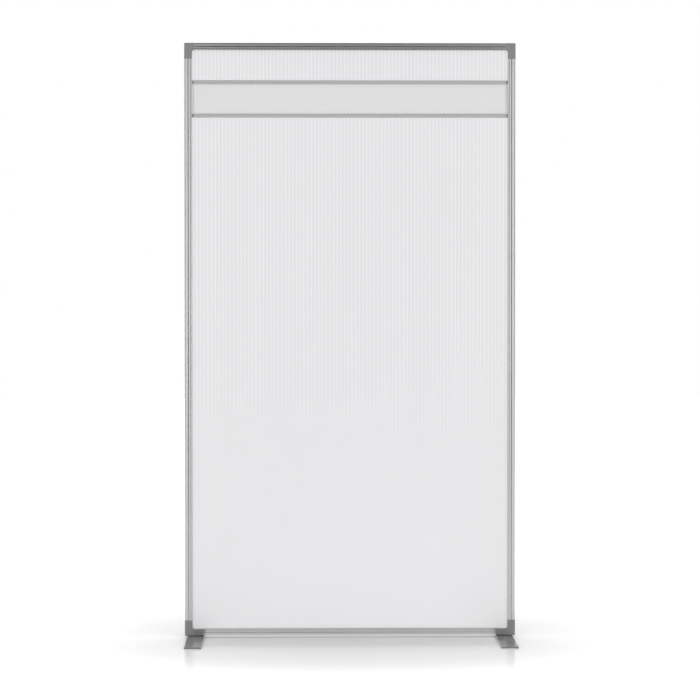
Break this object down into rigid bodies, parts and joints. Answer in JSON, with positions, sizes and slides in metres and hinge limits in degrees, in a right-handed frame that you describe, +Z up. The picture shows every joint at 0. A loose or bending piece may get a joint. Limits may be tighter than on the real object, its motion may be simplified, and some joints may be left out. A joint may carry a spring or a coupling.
{
  "type": "partition screen",
  "caption": "Free-standing office partition screen: slim aluminium frame with moulded corners, fluted translucent sheets, a plain strip at eye height and flat steel feet.",
  "frame": {"origin": "on the floor, under the middle of the screen, halfway between the two feet", "axes": "+X along the screen's width to the right seen from the front, +Y to the back (the front faces -Y), +Z up"},
  "size_m": [1.0016, 0.45, 1.8],
  "materials": {
    "frame_aluminium": "satin anodised, drawn along its length",
    "crossbar_aluminium": "satin anodised",
    "strip_end_trim": "satin anodised",
    "corner_plastic": "fine-grained grey moulding",
    "plug_plastic": "fine-grained dark-grey moulding",
    "twin_wall_sheet": "translucent opal twin-wall polycarbonate",
    "strip_plate": "plain satin light grey",
    "foot_steel": "semi-gloss dark-grey powder coat",
    "screw_steel": "zinc plated"
  },
  "bodies": {
    "root": {"left_stile": "frame_aluminium", "right_stile": "frame_aluminium", "top_rail": "frame_aluminium", "bottom_rail": "frame_aluminium", "corner_bottom_left": "corner_plastic", "corner_bottom_right": "corner_plastic", "corner_top_left": "corner_plastic", "corner_top_right": "corner_plastic", "lower_sheet": "twin_wall_sheet", "upper_sheet": "twin_wall_sheet", "strip_plate": "strip_plate", "upper_crossbar": "crossbar_aluminium", "lower_crossbar": "crossbar_aluminium", "crossbar_plug_upper_left": "plug_plastic", "crossbar_plug_upper_right": "plug_plastic", "crossbar_plug_lower_left": "plug_plastic", "crossbar_plug_lower_right": "plug_plastic", "strip_end_left": "strip_end_trim", "strip_end_right": "strip_end_trim", "foot_left": "foot_steel", "foot_right": "foot_steel", "foot_screws": "screw_steel"}
  },
  "joints": []
}
